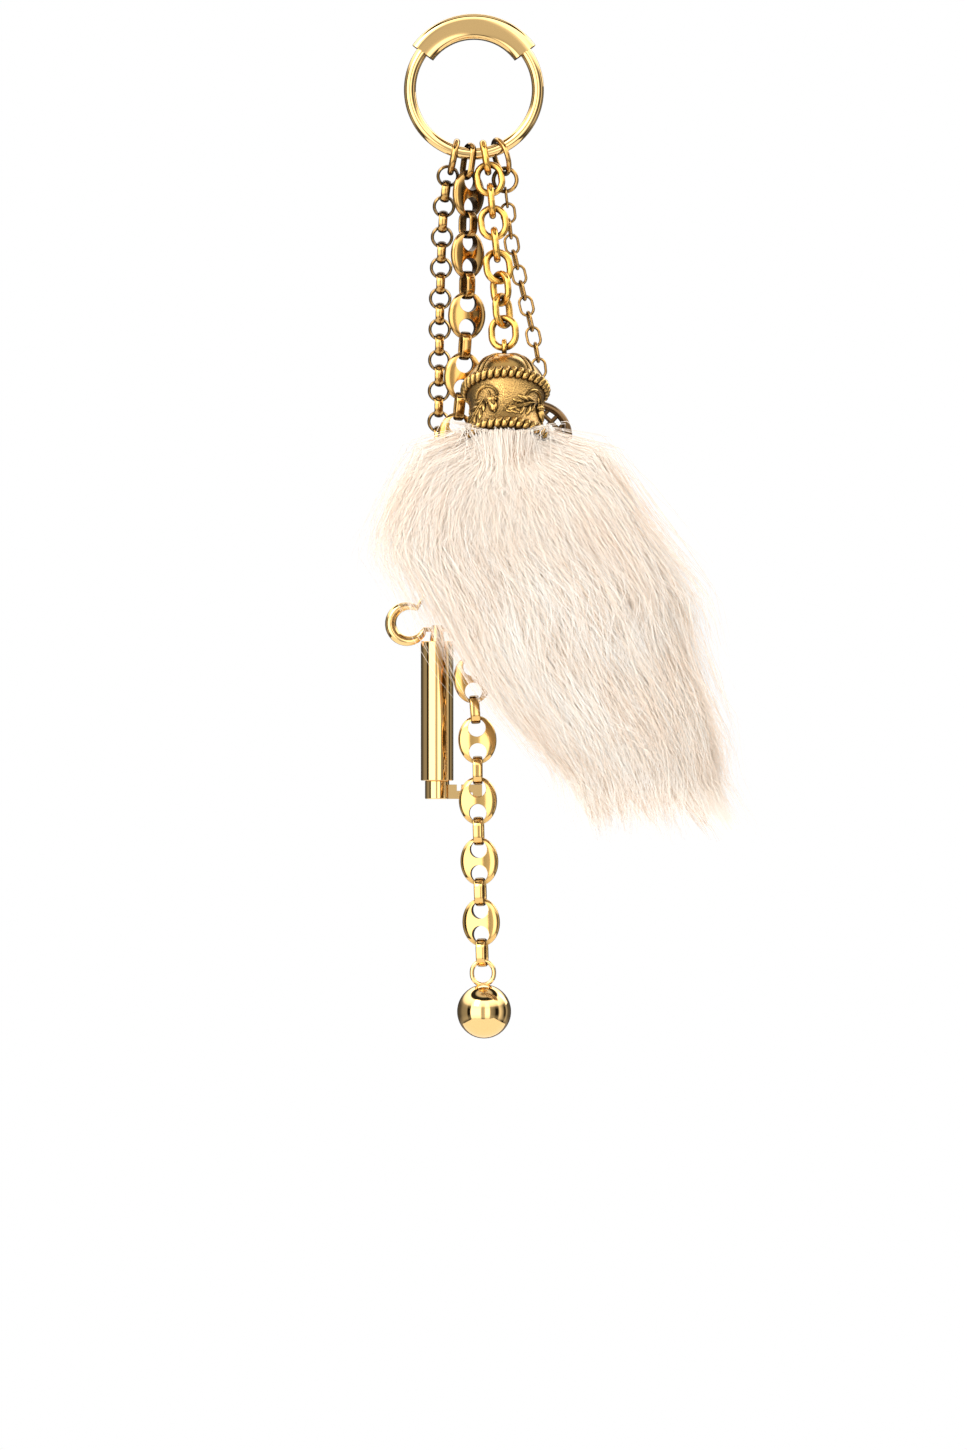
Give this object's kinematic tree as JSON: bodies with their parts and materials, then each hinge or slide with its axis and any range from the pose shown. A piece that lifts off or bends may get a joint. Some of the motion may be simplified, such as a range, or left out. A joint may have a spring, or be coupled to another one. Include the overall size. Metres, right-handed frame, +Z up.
{
  "type": "fur tail keychain",
  "caption": "Gold-tone key ring with a sliding sleeve and four hanging chains that carry a barrel key, a ball, a fur tail in a cast cap and a medallion.",
  "frame": {"origin": "centre of the split ring, from which the whole piece hangs", "axes": "+Z up, +X to the right seen from the front, the front faces -Y; the ring lies in the XZ plane"},
  "size_m": [0.082, 0.0534, 0.2562],
  "materials": {
    "polished_gold": "polished",
    "satin_gold": "satin",
    "antique_gold": "antiqued, dark in the recesses",
    "cast_antique_gold": "cast relief, antiqued",
    "pelt_leather": "suede",
    "fur": "long soft hair"
  },
  "bodies": {
    "ring": {"split_ring": "polished_gold"},
    "sleeve": {"ring_sleeve": "polished_gold"},
    "key_ring": {"key_chain_ring": "antique_gold"},
    "belcher_1": {"belcher_run_1": "antique_gold"},
    "belcher_2": {"belcher_run_2": "antique_gold"},
    "belcher_3": {"belcher_run_3": "antique_gold"},
    "belcher_4": {"belcher_run_4": "antique_gold"},
    "belcher_5": {"belcher_run_5": "antique_gold"},
    "key": {"key_bow": "polished_gold", "key_barrel": "polished_gold", "key_tip": "polished_gold", "key_bit": "polished_gold"},
    "ball_ring": {"ball_chain_ring": "antique_gold"},
    "oval_1": {"oval_link_01": "antique_gold", "oval_joiner_01": "antique_gold", "oval_link_02": "antique_gold"},
    "oval_2": {"oval_joiner_02": "antique_gold", "oval_link_03": "antique_gold", "oval_joiner_03": "antique_gold"},
    "oval_3": {"oval_link_04": "antique_gold", "oval_joiner_04": "antique_gold", "oval_link_05": "antique_gold"},
    "oval_4": {"oval_joiner_05": "antique_gold", "oval_link_06": "antique_gold", "oval_joiner_06": "antique_gold"},
    "oval_5": {"oval_link_07": "antique_gold", "oval_joiner_07": "antique_gold", "oval_link_08": "antique_gold"},
    "oval_6": {"oval_joiner_08": "antique_gold", "oval_link_09": "antique_gold", "oval_joiner_09": "antique_gold"},
    "oval_7": {"oval_link_10": "antique_gold", "oval_joiner_10": "antique_gold", "oval_link_11": "antique_gold"},
    "oval_8": {"oval_joiner_11": "antique_gold", "oval_link_12": "antique_gold", "oval_joiner_12": "antique_gold"},
    "oval_9": {"oval_link_13": "antique_gold", "oval_joiner_13": "antique_gold"},
    "ball": {"ball_eye": "polished_gold", "end_ball": "polished_gold"},
    "tail_link_1": {"tail_chain_link_1": "satin_gold"},
    "tail_link_2": {"tail_chain_link_2": "satin_gold"},
    "tail_link_3": {"tail_chain_link_3": "satin_gold"},
    "tail_link_4": {"tail_chain_link_4": "satin_gold"},
    "tail_link_5": {"tail_chain_link_5": "satin_gold"},
    "tail_link_6": {"tail_chain_link_6": "satin_gold"},
    "tail_link_7": {"tail_chain_link_7": "satin_gold"},
    "tail_link_8": {"tail_chain_link_8": "satin_gold"},
    "tail_link_9": {"tail_chain_link_9": "satin_gold"},
    "tail": {"cap_eye": "satin_gold", "tail_cap": "cast_antique_gold", "tail_pelt": "pelt_leather", "tail_fur": "fur"},
    "medal_ring": {"medallion_chain_ring": "antique_gold"},
    "round_ring": {"medallion_round_ring": "antique_gold"},
    "thin_chain_1": {"thin_chain_run_1": "antique_gold"},
    "thin_chain_2": {"thin_chain_run_2": "antique_gold"},
    "thin_chain_3": {"thin_chain_run_3": "antique_gold"},
    "medallion_disc": {"medallion": "cast_antique_gold"}
  },
  "joints": [
    {"name": "sleeve_slide_round", "type": "hinge", "parent": "ring", "child": "sleeve", "pos_m": [0, 0, 0], "axis": [0, 1, 0], "range_deg": [-80, 80]},
    {"name": "key_chain_swing", "type": "hinge", "parent": "ring", "child": "key_ring", "pos_m": [-0.0044, 0, -0.01538], "axis": [0.9614, 0, -0.275], "range_deg": [-0.5, 30]},
    {"name": "belcher_bend_1", "type": "hinge", "parent": "key_ring", "child": "belcher_1", "pos_m": [-0.00584, 0.00097, -0.02054], "axis": [0.0289, 0.9903, 0.1361], "range_deg": [-0.5, 10]},
    {"name": "belcher_bend_2", "type": "hinge", "parent": "belcher_1", "child": "belcher_2", "pos_m": [-0.00809, 0.00461, -0.03897], "axis": [0.999, 0, -0.0456], "range_deg": [-0.5, 10]},
    {"name": "belcher_bend_3", "type": "hinge", "parent": "belcher_2", "child": "belcher_3", "pos_m": [-0.00857, 0.00701, -0.05811], "axis": [0.0015, 0.995, 0.0995], "range_deg": [-0.5, 10]},
    {"name": "belcher_bend_4", "type": "hinge", "parent": "belcher_3", "child": "belcher_4", "pos_m": [-0.0088, 0.00842, -0.07736], "axis": [0.9999, 0, -0.0122], "range_deg": [-0.5, 10]},
    {"name": "belcher_bend_5", "type": "hinge", "parent": "belcher_4", "child": "belcher_5", "pos_m": [-0.00902, 0.00915, -0.09664], "axis": [0.0004, 0.9994, 0.0333], "range_deg": [-0.5, 10]},
    {"name": "key_swing", "type": "hinge", "parent": "belcher_5", "child": "key", "pos_m": [-0.00928, 0.00993, -0.11979], "axis": [0.0004, 0.9994, 0.0333], "range_deg": [-0.5, 18]},
    {"name": "ball_chain_swing", "type": "hinge", "parent": "ring", "child": "ball_ring", "pos_m": [-0.0009, 0, -0.01597], "axis": [0.9984, 0, -0.0562], "range_deg": [-0.5, 0.3]},
    {"name": "oval_chain_bend_1", "type": "hinge", "parent": "ball_ring", "child": "oval_1", "pos_m": [-0.00203, 0.00028, -0.02214], "axis": [-0.3983, 0.913, 0.0882], "range_deg": [-1, 1]},
    {"name": "oval_chain_bend_2", "type": "hinge", "parent": "oval_1", "child": "oval_2", "pos_m": [-0.00167, 0.0005, -0.04682], "axis": [0.8408, 0.5412, -0.0113], "range_deg": [-0.5, 0.5]},
    {"name": "oval_chain_bend_3", "type": "hinge", "parent": "oval_2", "child": "oval_3", "pos_m": [-0.00247, 0.0005, -0.06718], "axis": [-0.2133, 0.9769, 0.0137], "range_deg": [-1, 2]},
    {"name": "oval_chain_bend_4", "type": "hinge", "parent": "oval_3", "child": "oval_4", "pos_m": [-0.00432, 0.0005, -0.09232], "axis": [0.9945, 0.1036, -0.0166], "range_deg": [-0.5, 2]},
    {"name": "oval_chain_bend_5", "type": "hinge", "parent": "oval_4", "child": "oval_5", "pos_m": [-0.00259, 0.0005, -0.11264], "axis": [-0.0911, 0.9958, -0.0075], "range_deg": [-1, 3]},
    {"name": "oval_chain_bend_6", "type": "hinge", "parent": "oval_5", "child": "oval_6", "pos_m": [-0.00094, 0.0005, -0.13781], "axis": [0.9949, 0.0793, 0.0622], "range_deg": [-0.5, 2]},
    {"name": "oval_chain_bend_7", "type": "hinge", "parent": "oval_6", "child": "oval_7", "pos_m": [0.00051, 0.0005, -0.15813], "axis": [-0.0431, 0.9991, -0.0034], "range_deg": [-4, 6]},
    {"name": "oval_chain_bend_8", "type": "hinge", "parent": "oval_7", "child": "oval_8", "pos_m": [0.00109, 0.0005, -0.18334], "axis": [0.9962, -0.0855, 0.0154], "range_deg": [-8, 8]},
    {"name": "oval_chain_bend_9", "type": "hinge", "parent": "oval_8", "child": "oval_9", "pos_m": [0.00169, 0.0005, -0.20371], "axis": [0.2015, 0.9795, 0.006], "range_deg": [-12, 12]},
    {"name": "ball_swing", "type": "hinge", "parent": "oval_9", "child": "ball", "pos_m": [0.00215, 0.0005, -0.2189], "axis": [0.2002, 0.9797, 0.006], "range_deg": [-13, 13]},
    {"name": "tail_chain_bend_1", "type": "hinge", "parent": "ring", "child": "tail_link_1", "pos_m": [0.0029, 0, -0.01573], "axis": [0.9834, 0, 0.1812], "range_deg": [-25, 0]},
    {"name": "tail_chain_bend_2", "type": "hinge", "parent": "tail_link_1", "child": "tail_link_2", "pos_m": [0.00355, -0.00105, -0.02059], "axis": [0.0405, 0.974, -0.2229], "range_deg": [-3.5, 0.3]},
    {"name": "tail_chain_bend_3", "type": "hinge", "parent": "tail_link_2", "child": "tail_link_3", "pos_m": [0.00437, -0.00222, -0.02603], "axis": [0.9911, 0, 0.1334], "range_deg": [-10, 0]},
    {"name": "tail_chain_bend_4", "type": "hinge", "parent": "tail_link_3", "child": "tail_link_4", "pos_m": [0.00469, -0.00308, -0.0316], "axis": [0.015, 0.9852, -0.1705], "range_deg": [-4, 0.3]},
    {"name": "tail_chain_bend_5", "type": "hinge", "parent": "tail_link_4", "child": "tail_link_5", "pos_m": [0.00521, -0.00403, -0.03712], "axis": [0.9953, 0, 0.0965], "range_deg": [-10, 0]},
    {"name": "tail_chain_bend_6", "type": "hinge", "parent": "tail_link_5", "child": "tail_link_6", "pos_m": [0.00584, -0.00492, -0.04265], "axis": [0.0173, 0.9869, -0.1601], "range_deg": [-4, 0.3]},
    {"name": "tail_chain_bend_7", "type": "hinge", "parent": "tail_link_6", "child": "tail_link_7", "pos_m": [0.00646, -0.0058, -0.04817], "axis": [0.9484, 0.3116, 0.0584], "range_deg": [-10, 0]},
    {"name": "tail_chain_bend_8", "type": "hinge", "parent": "tail_link_7", "child": "tail_link_8", "pos_m": [0.00707, -0.00665, -0.05371], "axis": [-0.5746, 0.798, -0.1817], "range_deg": [-4, 0.3]},
    {"name": "tail_chain_bend_9", "type": "hinge", "parent": "tail_link_8", "child": "tail_link_9", "pos_m": [0.0074, -0.00748, -0.05926], "axis": [0.5607, 0.8235, -0.0863], "range_deg": [-5, 0.3]},
    {"name": "tail_swing", "type": "hinge", "parent": "tail_link_9", "child": "tail", "pos_m": [0.00757, -0.00824, -0.06484], "axis": [0.976, -0.2059, 0.0712], "range_deg": [-15, 0]},
    {"name": "medallion_chain_swing", "type": "hinge", "parent": "ring", "child": "medal_ring", "pos_m": [0.0058, 0, -0.01491], "axis": [0.932, 0, 0.3625], "range_deg": [-0.5, 30]},
    {"name": "round_ring_swing", "type": "hinge", "parent": "medal_ring", "child": "round_ring", "pos_m": [0.00801, 0.00084, -0.02087], "axis": [-0.3559, 0.9345, 0.0002], "range_deg": [-8, 1]},
    {"name": "thin_chain_bend_1", "type": "hinge", "parent": "round_ring", "child": "thin_chain_1", "pos_m": [0.0078, 0.0011, -0.02534], "axis": [1, 0, 0], "range_deg": [-1, 12]},
    {"name": "thin_chain_bend_2", "type": "hinge", "parent": "thin_chain_1", "child": "thin_chain_2", "pos_m": [0.00989, 0.00451, -0.0407], "axis": [0.9684, 0.1492, 0.1999], "range_deg": [-2, 15]},
    {"name": "thin_chain_bend_3", "type": "hinge", "parent": "thin_chain_2", "child": "thin_chain_3", "pos_m": [0.01463, 0.00647, -0.05991], "axis": [-0.2073, 0.9783, -0.0078], "range_deg": [-12, 2]},
    {"name": "medallion_swing", "type": "hinge", "parent": "thin_chain_3", "child": "medallion_disc", "pos_m": [0.01674, 0.0065, -0.07566], "axis": [-0.0357, 0.9994, -0.0025], "range_deg": [-25, 10]}
  ]
}
